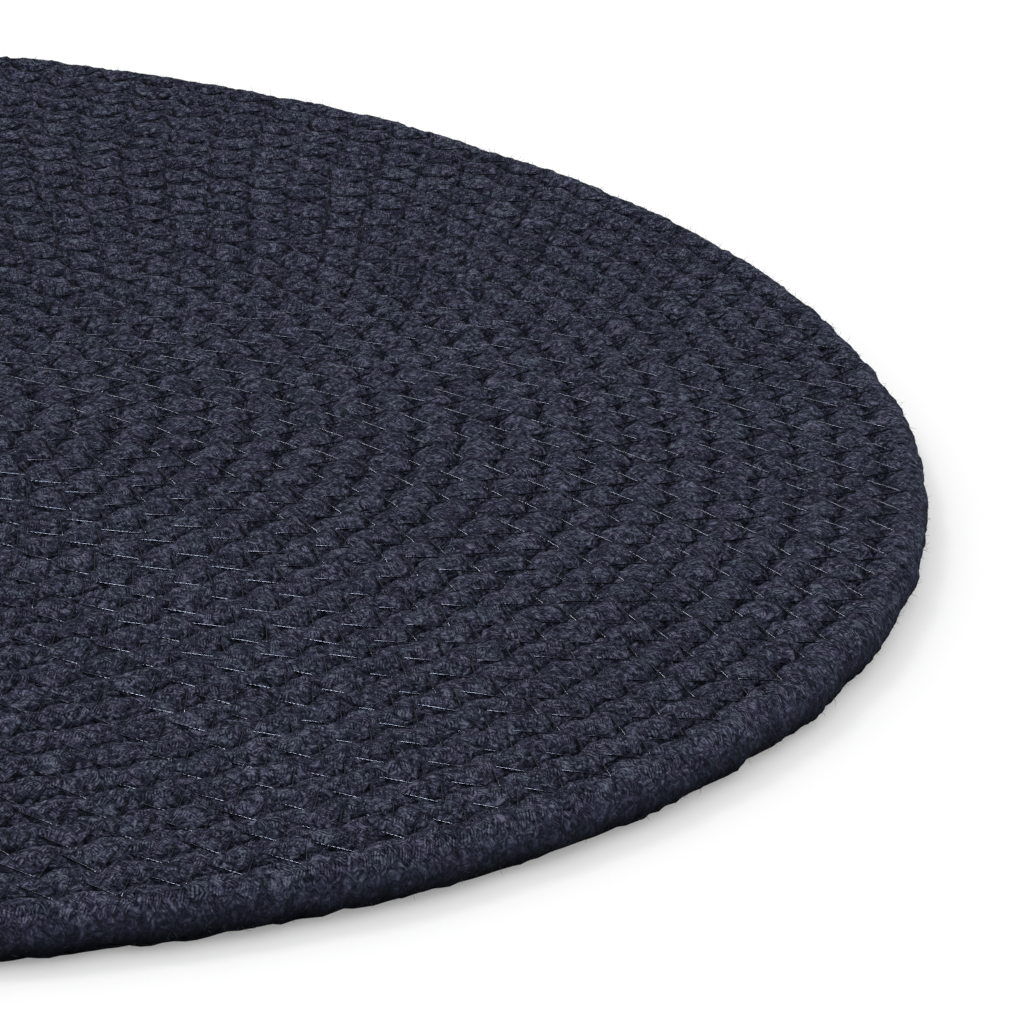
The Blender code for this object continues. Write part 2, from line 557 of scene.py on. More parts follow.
@dataclass
class PieceMesh:
    """Points, faces and UV maps of one piece, gathered from several grids."""

    name: str
    points: list[Array] = field(default_factory=list)
    faces: list[Array] = field(default_factory=list)
    maps: dict[str, list[Array]] = field(default_factory=dict)
    count: int = 0

    def add(self, points: Array, faces: Array, maps: dict[str, Array]) -> None:
        """Add points and the faces and maps that use them.

        Args:
            points: Points, one to a row.
            faces: Rows of indices into these points.
            maps: For each UV map, a pair of numbers for each point.
        """
        self.points.append(points)
        self.faces.append(faces + self.count)
        for name, pairs in maps.items():
            self.maps.setdefault(name, []).append(pairs)
        self.count += len(points)

    def add_grid(self, points: Array, maps: dict[str, Array], face: Face) -> None:
        """Add a grid of points, joined by four-sided faces that look out of the mat.

        Args:
            points: The grid, as rows along the cord by places across it by x, y and z.
            maps: For each UV map, a grid of pairs.
            face: The face of the mat, which sets the way the faces look.
        """
        rows, columns = points.shape[:2]
        corner = (np.arange(rows - 1)[:, None] * columns + np.arange(columns - 1)).reshape(-1, 1)
        ring = np.array([0, columns, columns + 1, 1])
        if face is Face.UNDERSIDE:
            ring = ring[::-1]
        flat = {name: pairs.reshape(-1, 2) for name, pairs in maps.items()}
        self.add(points.reshape(-1, 3), corner + ring, flat)

    def used_corners(self, corners: Array) -> Array:
        """Find the corners that each face needs once points that coincide are joined.

        Args:
            corners: Rows of indices into the joined points.

        Returns:
            True for each corner in use, and False in the whole row of a face with no area.
        """
        used = corners != np.roll(corners, 1, axis=1)
        folded = np.any(corners == np.roll(corners, 2, axis=1), axis=1) & (corners.shape[1] == 4)
        return used & ((used.sum(axis=1) >= 3) & ~folded)[:, None]

    def build(self) -> Piece:
        """Make the object, with points that coincide joined.

        Returns:
            The new object, linked to the scene.
        """
        points, faces = np.concatenate(self.points), np.concatenate(self.faces)
        keys = np.round(points / JOIN_WITHIN).astype(np.int64)
        kept, first, where = np.unique(keys, axis=0, return_index=True, return_inverse=True)
        corners = where.reshape(-1)[faces]
        used = self.used_corners(corners)
        sides = used.sum(axis=1)
        mesh = bpy.data.meshes.new(self.name)
        mesh.vertices.add(len(kept))
        mesh.vertices.foreach_set("co", points[first].astype(np.float32).ravel())
        mesh.loops.add(int(sides.sum()))
        mesh.loops.foreach_set("vertex_index", corners[used].astype(np.int32))
        ends = np.cumsum(sides[sides > 0])
        mesh.polygons.add(len(ends))
        starts = np.concatenate(([0], ends[:-1])).astype(np.int32)
        mesh.polygons.foreach_set("loop_start", starts)
        mesh.update(calc_edges=True)
        for name, pairs in self.maps.items():
            layer = mesh.uv_layers.new(name=name)
            values = np.concatenate(pairs)[faces[used]]
            layer.data.foreach_set("uv", values.astype(np.float32).ravel())
        mesh.validate()
        mesh.shade_smooth()
        piece = bpy.data.objects.new(self.name, mesh)
        bpy.context.scene.collection.objects.link(piece)
        return piece


@dataclass
class CordTurns:
    """A band of the cord's turns on one face of the mat, as one sheet of its surface."""

    name: str
    skin: CordSkin
    first_turn: float
    last_turn: float
    face: Face
    step: float
    columns: int
    rim_columns: int = 4
    rim_reach: float = 0.45
    tip: float = 0.004
    start_rows_per_turn: int = 90

    def rows(self, first: float, last: float) -> Array:
        """Turns at which the rows across the cord lie, evenly paced along it.

        Args:
            first: Turns where the rows begin.
            last: Turns where they end.

        Returns:
            The rows' turns.
        """
        coil = self.skin.coil
        tucked = np.empty(0)
        if first < 0.0:
            count = int(-first * self.start_rows_per_turn)
            tucked = np.linspace(first, 0.0, count, endpoint=False)
            first = 0.0
        start, end = coil.length(first), coil.length(last)
        lengths = np.linspace(start, end, max(2, int(round((end - start) / self.step)) + 1))
        return np.concatenate((tucked, coil.turn_at(lengths)))

    def maps(self, turn: Array, around: Array) -> dict[str, Array]:
        """UV maps in millimetres: the braid's, and one for the stitches of each seam.

        Args:
            turn: Turns from the cord's start.
            around: Place round the section.

        Returns:
            For each map, a grid of pairs.
        """
        along, across = self.skin.braid_place(turn, around, self.face)
        found = {"braid": np.stack((along / MM, across / MM), axis=-1)}
        beside = self.skin.stitches(turn, self.skin.section(turn, around)[0])
        for name, (stitch, gap) in zip(("inner_seam", "outer_seam"), beside):
            stitch, gap = np.broadcast_arrays(stitch - np.floor(stitch.min()), gap / MM)
            found[name] = np.stack((stitch, gap), axis=-1)
        return found

    def build(self) -> Piece:
        """Build the band's mesh.

        Returns:
            The new object.
        """
        mesh = PieceMesh(self.name)
        coil = self.skin.coil
        rim_start = coil.turns - 1.0 - coil.taper_steps / coil.steps_per_turn
        inner_rows = self.rows(self.first_turn, min(self.last_turn, rim_start))[:, None]
        around = np.linspace(-1.0, 1.0, self.columns + 1)[None, :]
        self.add_rows(mesh, inner_rows, around)
        if self.last_turn > rim_start:
            rim_rows = self.rows(rim_start, self.last_turn - self.tip)[:, None]
            free = self.skin.freedom(rim_rows)
            if self.face is Face.TOP:
                past = np.linspace(0.0, self.rim_reach, self.rim_columns + 1)[None, 1:]
                around = np.concatenate((around + 0.0 * free, 1.0 + past * free), axis=1)
            else:
                around = -1.0 + (around + 1.0) * (1.0 - free * self.rim_reach / 2.0)
            self.add_rows(mesh, rim_rows, around)
        return mesh.build()

    def add_rows(self, mesh: PieceMesh, turn: Array, around: Array) -> None:
        """Add rows of the cord's surface to the mesh."""
        points = self.skin.points(turn, around, self.face)
        mesh.add_grid(points, self.maps(turn, around), self.face)

    def flat_area(self) -> float:
        """Flat area that the band covers on the table."""
        coil = self.skin.coil
        inner, outer = max(coil.radius(self.first_turn), 0.0), coil.radius(self.last_turn)
        if self.last_turn >= coil.turns:
            outer = float(np.mean(CAD_BOX[1].xy))
        return math.pi * (outer**2 - inner**2)

    def flat_size(self) -> tuple[float, float]:
        """Width and length of the band before it is laid, which is its outer size."""
        coil = self.skin.coil
        if self.last_turn >= coil.turns:
            return tuple(CAD_BOX[1].xy - CAD_BOX[0].xy)
        across = 2.0 * coil.radius(self.last_turn) + coil.pitch / 2.0
        return across, across


@dataclass
class SeamThread:
    """The legs of the zigzag on one face of the mat."""

    name: str
    seam: ZigzagSeam
    skin: CordSkin
    face: Face
    shares: tuple[float, ...]
    sides: int = 3
    radius: float = 0.12 * MM
    proud: float = 0.02 * MM
    first_hole: int = 1
    map_length: float = 6.4

    def hole(self, index: Array) -> tuple[Array, Array]:
        """Distance from the coil's middle and direction of needle holes.

        Args:
            index: Which holes.

        Returns:
            The distances and the directions. Even holes are in the outer of the two turns.
        """
        coil = self.seam.coil
        turn = coil.turn_at(self.seam.lengths[index], coil.pitch / 2.0)
        side = np.where(index % 2 == 0, 1.0, -1.0)
        wander = self.skin.seam_wander(turn, -np.ones_like(turn))
        seam_radius = coil.radius(turn) - coil.pitch / 2.0 + wander
        return seam_radius + side * self.seam.reaches[index], coil.angle(turn)

    def path(self, share: Array) -> Array:
        """Points along the middle of every leg.

        Args:
            share: How far along its leg each point is, from 0 to 1.

        Returns:
            The points, as legs by places along them by x, y and z.
        """
        first = np.arange(self.first_hole, len(self.seam.lengths) - 1)
        radius, angle = self.hole(first)
        next_radius, next_angle = self.hole(first + 1)
        start = np.stack((radius * np.cos(angle), radius * np.sin(angle)), axis=-1)[:, None]
        end = np.stack((next_radius * np.cos(next_angle), next_radius * np.sin(next_angle)), axis=-1)
        flat = start + (end[:, None] - start) * share[None, :, None]
        slack = (self.seam.heights[first] - self.seam.rest_height)[:, None]
        rise = self.seam.rise(share)[None, :] + self.proud + slack
        middle = self.seam.coil.middle()
        height = self.seam.coil.half_height + self.face.value * rise
        x, y = flat[..., 0] + middle.x, flat[..., 1] + middle.y
        return np.stack((x, y, height), axis=-1)

    def build(self) -> Piece:
        """Build the legs as thin round tubes.

        Returns:
            The new object.
        """
        share = np.array(self.shares)
        path = self.path(share)
        ahead = unit(np.gradient(path, axis=1))
        side = unit(np.cross(ahead, np.array([0.0, 0.0, 1.0])))
        up = np.cross(side, ahead)
        turn = round_steps(self.sides)[None, None, :, None]
        ring = np.cos(turn) * side[:, :, None] + np.sin(turn) * up[:, :, None]
        points = path[:, :, None] + self.radius * ring
        legs, places = points.shape[:2]
        along = (share[None, :, None] + np.arange(legs)[:, None, None]) * self.map_length
        across = np.arange(self.sides)[None, None, :] / self.sides
        pairs = np.stack(np.broadcast_arrays(along, across), axis=-1)
        rings = np.arange(legs)[:, None] * places + np.arange(places - 1)[None, :]
        corner = np.arange(self.sides)
        following = (corner + 1) % self.sides
        ring_quads = np.stack((corner, following, following + self.sides, corner + self.sides), axis=-1)
        quads = rings[:, :, None, None] * self.sides + ring_quads
        mesh = PieceMesh(self.name)
        mesh.add(points.reshape(-1, 3), quads.reshape(-1, 4), {"thread": pairs.reshape(-1, 2)})
        return mesh.build()


@dataclass
class StrayFibres:
    """Short ends of cotton that stand off the cord, most of them seen along the rim."""

    skin: CordSkin
    top_count: int = 9000
    rim_count: int = 2200
    shortest: float = 0.5 * MM
    longest: float = 1.9 * MM
    radius: float = 0.028 * MM
    thinned: float = 0.8
    lean: float = 0.75
    bend: float = 0.45
    root: float = 0.15 * MM
    end_turns: Span = (0.2, 0.1)
    top_reach: float = 0.85
    rim_reach: Span = (0.1, 1.4)
    nearby: float = 0.25 * MM
    nearby_share: float = 0.05
    seed: int = 77

    def roots(self, rng: np.random.Generator) -> tuple[Array, Array]:
        """Choose where the fibres grow.

        Args:
            rng: The seeded source of chance.

        Returns:
            Turns from the cord's start, and places round its section.
        """
        coil = self.skin.coil
        top_end, rim_end = self.end_turns
        top = coil.turn_at(rng.uniform(0.0, coil.length(coil.turns - top_end), self.top_count))
        rim = rng.uniform(coil.turns - 1.0, coil.turns - rim_end, self.rim_count)
        top_around = rng.uniform(-self.top_reach, self.top_reach, self.top_count)
        rim_around = rng.uniform(*self.rim_reach, self.rim_count)
        return np.concatenate((top, rim)), np.concatenate((top_around, rim_around))

    def outward(self, turn: Array, around: Array, base: Array) -> Array:
        """Directions straight out of the cord's surface.

        Args:
            turn: Turns from the cord's start.
            around: Places round its section.
            base: The points of the surface there.

        Returns:
            The directions, each one long.
        """
        beyond = turn + self.nearby / (2.0 * math.pi * self.skin.coil.radius(turn))
        along = self.skin.points(beyond, around, Face.TOP) - base
        across = self.skin.points(turn, around + self.nearby_share, Face.TOP) - base
        return unit(np.cross(along, across))

    def build(self) -> Piece:
        """Build each fibre as a bent three-sided spike.

        Returns:
            The new object.
        """
        rng = np.random.default_rng(self.seed)
        turn, around = self.roots(rng)
        base = self.skin.points(turn, around, Face.TOP)
        out = self.outward(turn, around, base)
        count = len(turn)
        spread = rng.normal(0.0, self.lean, (count, 3))
        aim = unit(out + spread - out * np.sum(spread * out, axis=-1, keepdims=True))
        length = rng.uniform(0.0, 1.0, (count, 1)) ** 2 * (self.longest - self.shortest) + self.shortest
        turned = unit(aim + rng.normal(0.0, self.bend, (count, 3)))
        start = base - out * self.root
        half_way = start + aim * (length * 0.5 + self.root)
        tip = half_way + turned * length * 0.5
        side = unit(np.cross(aim, turned + 0.001))
        other = np.cross(aim, side)
        corners = round_steps(3)[None, :, None]
        ring = np.cos(corners) * side[:, None] + np.sin(corners) * other[:, None]
        low = start[:, None] + ring * self.radius
        high = half_way[:, None] + ring * self.radius * self.thinned
        points = np.concatenate((low, high, tip[:, None]), axis=1)
        rows = []
        for corner in range(3):
            following = (corner + 1) % 3
            rows.append((corner, following, following + 3))
            rows.append((corner, following + 3, corner + 3))
            rows.append((corner + 3, following + 3, 6))
        faces = np.arange(count)[:, None, None] * points.shape[1] + np.array(rows)[None]
        mesh = PieceMesh("stray_fibres")
        mesh.add(points.reshape(-1, 3), faces.reshape(-1, 3), {})
        return mesh.build()


class Wiring:
    """A node tree being wired, with short calls for the nodes that this mat's finishes use."""

    def __init__(self, tree: Tree) -> None:
        """Start wiring a tree."""
        self.tree = tree
        self.made = 0

    def node(self, kind: str, **settings: object) -> bpy.types.Node:
        """Add a node.

        Args:
            kind: The node's type.
            settings: Values for its own properties.

        Returns:
            The new node.
        """
        node = self.tree.nodes.new(kind)
        node.location = (180.0 * (self.made % 8), -220.0 * (self.made // 8))
        self.made += 1
        for name, value in settings.items():
            setattr(node, name, value)
        return node

    def put(self, socket: Socket, value: object) -> None:
        """Link another node's output to a socket, or set the socket's own value."""
        if isinstance(value, Socket):
            self.tree.links.new(value, socket)
        else:
            socket.default_value = value

    def math(self, operation: str, *values: object) -> Socket:
        """Work out a number from others.

        Args:
            operation: What to do with them.
            values: Numbers or outputs of other nodes.

        Returns:
            The output that holds the result.
        """
        node = self.node("ShaderNodeMath", operation=operation)
        for socket, value in zip(node.inputs, values):
            self.put(socket, value)
        return node.outputs[0]

    def product(self, first: Socket, *others: object) -> Socket:
        """Multiply numbers, one after another."""
        for other in others:
            first = self.math("MULTIPLY", first, other)
        return first

    def bell(self, away: Socket) -> Socket:
        """1 at no distance, falling smoothly to 0 as the distance grows."""
        return self.math("EXPONENT", self.product(self.product(away, away), -1.0))

    def swing(self, noise: Socket, contrast: object) -> Socket:
        """A factor that a noise swings above and below 1."""
        return self.math("EXPONENT", self.product(self.math("SUBTRACT", noise, 0.5), contrast))

    def blend(self, first: object, second: object, share: object) -> Socket:
        """Blend two numbers by a share from 0 to 1."""
        node = self.node("ShaderNodeMix", data_type="FLOAT")
        for name, value in (("Factor", share), ("A", first), ("B", second)):
            self.put(node.inputs[name], value)
        return node.outputs["Result"]

    def spread(self, value: object, low: float, high: float, first: float, last: float) -> Socket:
        """Map the stretch from low to high smoothly to the one from first to last."""
        node = self.node("ShaderNodeMapRange", interpolation_type="SMOOTHSTEP")
        for index, given in enumerate((value, low, high, first, last)):
            self.put(node.inputs[index], given)
        return node.outputs[0]

    def split(self, vector: Socket) -> tuple[Socket, Socket, Socket]:
        """Take a vector apart into its three numbers."""
        node = self.node("ShaderNodeSeparateXYZ")
        self.put(node.inputs[0], vector)
        return node.outputs[0], node.outputs[1], node.outputs[2]

    def join(self, x: object, y: object, z: object = 0.0) -> Socket:
        """Put three numbers together as a vector."""
        node = self.node("ShaderNodeCombineXYZ")
        for socket, value in zip(node.inputs, (x, y, z)):
            self.put(socket, value)
        return node.outputs[0]

    def chance(self, x: Socket, y: Socket, z: Socket) -> Socket:
        """A chance number from 0 to 1 for each cell."""
        node = self.node("ShaderNodeTexWhiteNoise", noise_dimensions="3D")
        self.put(node.inputs["Vector"], self.join(x, y, z))
        return node.outputs[0]

    def noise(self, vector: Socket, scale: float, detail: float) -> Socket:
        """Soft noise from 0 to 1 at a place."""
        node = self.node("ShaderNodeTexNoise")
        self.put(node.inputs["Vector"], vector)
        node.inputs["Scale"].default_value = scale
        node.inputs["Detail"].default_value = detail
        return node.outputs[0]

    def bump(self, height: Socket, distance: float) -> Socket:
        """The normal of a surface that a height raises."""
        node = self.node("ShaderNodeBump")
        node.inputs["Distance"].default_value = distance
        self.put(node.inputs["Height"], height)
        return node.outputs["Normal"]

    def uv(self, name: str) -> Socket:
        """Read one of the piece's UV maps."""
        return self.node("ShaderNodeUVMap", uv_map=name).outputs[0]

    def mix(self, first: Colour, second: Colour, share: Socket) -> Socket:
        """Mix two colours by a share from 0 to 1."""
        node = self.node("ShaderNodeMix", data_type="RGBA")
        self.put(node.inputs[0], share)
        self.put(node.inputs[6], (*first, 1.0))
        self.put(node.inputs[7], (*second, 1.0))
        return node.outputs[2]

    def times(self, first: Socket, second: Socket) -> Socket:
        """Multiply two colours."""
        node = self.node("ShaderNodeVectorMath", operation="MULTIPLY")
        self.put(node.inputs[0], first)
        self.put(node.inputs[1], second)
        return node.outputs[0]

    def scale(self, colour: object, amount: Socket) -> Socket:
        """A colour made darker or lighter by a number."""
        node = self.node("ShaderNodeVectorMath", operation="SCALE")
        self.put(node.inputs[0], colour)
        self.put(node.inputs["Scale"], amount)
        return node.outputs[0]

    def group(self, tree: Tree, **inputs: object) -> bpy.types.Node:
        """Place a shader node group with its own values."""
        node = self.node("ShaderNodeGroup", node_tree=tree)
        for name, value in inputs.items():
            self.put(node.inputs[name], value)
        return node


class NodeGroup:
    """A shader node group of this mat, built once and placed in each finish that uses it.

    Each kind of group names the inputs that it takes, with their usual values or None for a
    place, and the numbers that it gives.
    """

    name = "group"
    takes: dict[str, float | None] = {}
    gives: tuple[str, ...] = ()

    def tree(self) -> Tree:
        """The group's tree, which is built the first time that it is asked for.

        Returns:
            The tree.
        """
        found = bpy.data.node_groups.get(self.name)
        if found:
            return found
        tree = bpy.data.node_groups.new(self.name, "ShaderNodeTree")
        for name, value in self.takes.items():
            kind = "NodeSocketVector" if value is None else "NodeSocketFloat"
            socket = tree.interface.new_socket(name=name, in_out="INPUT", socket_type=kind)
            if value is not None:
                socket.default_value = value
        for name in self.gives:
            tree.interface.new_socket(name=name, in_out="OUTPUT", socket_type="NodeSocketFloat")
        wiring = Wiring(tree)
        given = wiring.node("NodeGroupInput")
        result = wiring.node("NodeGroupOutput")
        for name, value in self.wire(wiring, given.outputs).items():
            wiring.put(result.inputs[name], value)
        return tree

    def wire(self, wiring: Wiring, given: Outputs) -> dict[str, Socket]:
        """Wire the group's inside. Each kind of group has its own."""
        raise NotImplementedError


class BraidedYarn(NodeGroup):
    """Strands of parallel yarns that cross over and under, in the braid's own places."""

    name = "braided_yarn"
    takes = {
        "Place": None,
        "Cell Along": 3.1,
        "Cell Across": 3.14,
        "Yarns": 4.0,
        "Unevenness": 0.8,
        "Fray": 0.6,
        "Roundness": 1.6,
        "Contrast": 3.6,
    }
    gives = ("Height", "Shade", "Tint")
    back_power = 2.5
    end_power = 4.0
    gap_power = 0.30
    fibres_across = 7.0
    fibres_along = 1.6
    fray_scale = 0.33
    fray_span = (0.40, 0.66)
    frayed_gap = 0.85
    yarn_shades = (0.7, 1.3)
    share_of_height = 0.35
    stray_scale = 0.75
    other_reading = 37.0
    strand_step = 17.0
    fibre_step = 60.0

    def wire(self, wiring: Wiring, given: Outputs) -> dict[str, Socket]:
        """Wire the braid: which strand is over, its back, its yarns and their fibres."""
        math_ = wiring.math
        along, across, unused = wiring.split(given["Place"])
        along = math_("ADD", along, self.uneven(wiring, given, 0.0))
        across = math_("ADD", across, self.uneven(wiring, given, self.other_reading))
        along = math_("DIVIDE", along, given["Cell Along"])
        across = math_("DIVIDE", across, given["Cell Across"])
        first, second = math_("ADD", along, across), math_("SUBTRACT", along, across)
        cells = math_("FLOOR", first), math_("FLOOR", second)
        over = math_("FLOORED_MODULO", math_("ADD", *cells), 2.0)
        parts = math_("FRACT", first), math_("FRACT", second)
        side, run = wiring.blend(*parts, over), wiring.blend(*parts[::-1], over)
        back = self.rounded(wiring, side, self.back_power)
        strand = wiring.product(back, self.rounded(wiring, run, self.end_power))
        tint = wiring.chance(*cells, over)
        yarn_place = math_("MULTIPLY_ADD", side, given["Yarns"], tint)
        yarn = math_("ABSOLUTE", math_("SINE", wiring.product(yarn_place, math.pi)))
        yarn = math_("POWER", yarn, given["Roundness"])
        own = wiring.chance(*cells, math_("MULTIPLY_ADD", over, self.strand_step, math_("FLOOR", yarn_place)))
        fibre_along = math_("MULTIPLY_ADD", run, self.fibres_along, wiring.product(tint, self.fibre_step))
        fibre_place = wiring.join(wiring.product(side, self.fibres_across), fibre_along, over)
        fibres = wiring.noise(fibre_place, 1.0, 2.0)
        frayed = wiring.noise(given["Place"], self.fray_scale, 1.0)
        frayed = wiring.spread(frayed, *self.fray_span, 0.0, 1.0)
        frayed = wiring.product(frayed, given["Fray"])
        yarn = wiring.blend(yarn, fibres, frayed)
        share = self.share_of_height
        height = math_("MULTIPLY_ADD", wiring.product(yarn, strand), share, wiring.product(strand, share))
        height = math_("MULTIPLY_ADD", fibres, share, height)
        # Painted shade: the Shade output darkens towards each strand's edges and between the yarns, on top of
        # the fibres' own tone.
        gap = wiring.blend(math_("POWER", strand, self.gap_power), self.frayed_gap, frayed)
        own_shade = wiring.blend(*self.yarn_shades, own)
        shade = wiring.product(yarn, gap, own_shade, wiring.swing(fibres, given["Contrast"]))
        return {"Height": height, "Shade": shade, "Tint": tint}

    def rounded(self, wiring: Wiring, share: Socket, power: float) -> Socket:
        """A strand's round back across its width: 0 at both edges, 1 in the middle."""
        off_middle = wiring.math("ABSOLUTE", wiring.math("MULTIPLY_ADD", share, 2.0, -1.0))
        return wiring.math("SUBTRACT", 1.0, wiring.math("POWER", off_middle, power))

    def uneven(self, wiring: Wiring, given: Outputs, shift: float) -> Socket:
        """How far the yarns stray from their even places.

        Args:
            wiring: The group's wiring.
            given: The group's inputs.
            shift: Where in the noise to read, so that two readings differ.

        Returns:
            The shift of the place in millimetres.
        """
        place = wiring.node("ShaderNodeVectorMath", operation="ADD")
        wiring.put(place.inputs[0], given["Place"])
        place.inputs[1].default_value = (shift, shift, shift)
        noise = wiring.noise(place.outputs[0], self.stray_scale, 2.0)
        return wiring.product(wiring.math("SUBTRACT", noise, 0.5), given["Unevenness"])


class StitchGroove(NodeGroup):
    """The narrow groove that the zigzag's thread cuts into the cord, and its needle holes."""

    name = "stitch_groove"
    takes = {
        "Place": None,
        "Reach": 3.2,
        "Width": 0.35,
        "Stitch Length": 9.0,
        "Seam Width": 0.55,
    }
    gives = ("Groove", "Hole", "Seam", "Valley")
    fade_span = (-1.4, -0.4)
    hole_tightness = -3.0
    valley_span = (0.5, 2.3)

    def wire(self, wiring: Wiring, given: Outputs) -> dict[str, Socket]:
        """Wire the distance from the legs of thread, and from the hole where they meet."""
        math_ = wiring.math
        stitch, gap, unused = wiring.split(given["Place"])
        past = math_("ABSOLUTE", math_("SUBTRACT", stitch, math_("ROUND", stitch)))
        line = math_("SUBTRACT", given["Reach"], wiring.product(past, 4.0, given["Reach"]))
        slant = math_("DIVIDE", wiring.product(given["Reach"], 4.0), given["Stitch Length"])
        steep = math_("SQRT", math_("MULTIPLY_ADD", slant, slant, 1.0))
        away = math_("DIVIDE", math_("ABSOLUTE", math_("SUBTRACT", gap, line)), steep)
        beyond = math_("SUBTRACT", gap, given["Reach"])
        within = wiring.spread(beyond, *self.fade_span, 1.0, 0.0)
        beside = wiring.product(past, given["Stitch Length"])
        apart = math_("MULTIPLY_ADD", beside, beside, wiring.product(beyond, beyond))
        return {
            "Groove": wiring.product(wiring.bell(math_("DIVIDE", away, given["Width"])), within),
            "Hole": math_("EXPONENT", wiring.product(apart, self.hole_tightness)),
            "Seam": wiring.bell(math_("DIVIDE", gap, given["Seam Width"])),
            "Valley": wiring.spread(gap, *self.valley_span, 1.0, 0.0),
        }


class CottonFuzz(NodeGroup):
    """Soft cloudiness, matted fuzz, curled wisps and pale lint of worn-in cotton, and crease lines where
    shade is painted.
    """

    name = "cotton_fuzz"
    takes = {
        "Place": None,
        "Cord Place": None,
        "Curl": 0.9,
        "Wisp Width": 0.07,
        "Crease Width": 0.09,
    }
    gives = ("Cloud", "Patch", "Fuzz", "Matting", "Wisp", "Crease", "Fine Crease", "Lint")
    cloud_scale = 160.0
    patch_scale = 240.0
    fuzz_scale = 2100.0
    lint_scale = 900.0
    lint_span = (0.74, 0.80)
    lines = (
        ("Wisp", 760.0, "Wisp Width"),
        ("Crease", 560.0, "Crease Width"),
        ("Fine Crease", 980.0, "Crease Width"),
    )
    curl_scale = 420.0
    curl_length = 4.0 * MM
    bend_scale = 0.55
    bend = 3.2
    matting_along = 0.50
    matting_across = 2.0

    def wire(self, wiring: Wiring, given: Outputs) -> dict[str, Socket]:
        """Wire noises of several sizes, at the object's own scale."""
        place = self.curled(wiring, given)
        lint = wiring.noise(given["Place"], self.lint_scale, 1.0)
        found = {
            "Cloud": wiring.noise(given["Place"], self.cloud_scale, 3.0),
            "Patch": wiring.noise(place, self.patch_scale, 2.0),
            "Fuzz": wiring.noise(place, self.fuzz_scale, 2.0),
            "Matting": self.matting(wiring, given),
            "Lint": wiring.spread(lint, *self.lint_span, 0.0, 1.0),
        }
        for name, scale, width in self.lines:
            off_line = wiring.math("SUBTRACT", wiring.noise(place, scale, 1.0), 0.5)
            found[name] = wiring.bell(wiring.math("DIVIDE", off_line, given[width]))
        return found

    def matting(self, wiring: Wiring, given: Outputs) -> Socket:
        """Matted fibres that lie along the cord, as a noise drawn out along it."""
        bend = wiring.noise(given["Cord Place"], self.bend_scale, 1.0)
        along, across, unused = wiring.split(given["Cord Place"])
        bent = wiring.math("MULTIPLY_ADD", bend, self.bend, across)
        along, across = wiring.product(along, self.matting_along), wiring.product(bent, self.matting_across)
        return wiring.noise(wiring.join(along, across, 3.0), 1.0, 3.0)

    def curled(self, wiring: Wiring, given: Outputs) -> Socket:
        """The place, curled by a broader noise so that the fuzz has no even grain."""
        curl = wiring.node("ShaderNodeTexNoise")
        wiring.put(curl.inputs["Vector"], given["Place"])
        curl.inputs["Scale"].default_value = self.curl_scale
        curl.inputs["Detail"].default_value = 1.0
        centred = wiring.node("ShaderNodeVectorMath", operation="SUBTRACT")
        wiring.put(centred.inputs[0], curl.outputs["Color"])
        centred.inputs[1].default_value = (0.5, 0.5, 0.5)
        moved = wiring.node("ShaderNodeVectorMath", operation="ADD")
        wiring.put(moved.inputs[0], given["Place"])
        length = wiring.product(given["Curl"], self.curl_length)
        wiring.put(moved.inputs[1], wiring.scale(centred.outputs[0], length))
        return moved.outputs[0]


def new_material(name: str, plain: dict[str, object]) -> tuple[Material, Wiring, bpy.types.Node]:
    """Start a material with its shader.

    Args:
        name: The material's name.
        plain: Values of the shader that are the same all over.

    Returns:
        The material, its wiring and its Principled BSDF.
    """
    material = bpy.data.materials.new(name)
    material.use_nodes = True
    shader = material.node_tree.nodes["Principled BSDF"]
    for socket, value in plain.items():
        shader.inputs[socket].default_value = value
    return material, Wiring(material.node_tree), shader


def dress(piece: Piece, material: Material) -> None:
    """Give a piece its only material."""
    piece.data.materials.clear()
    piece.data.materials.append(material)


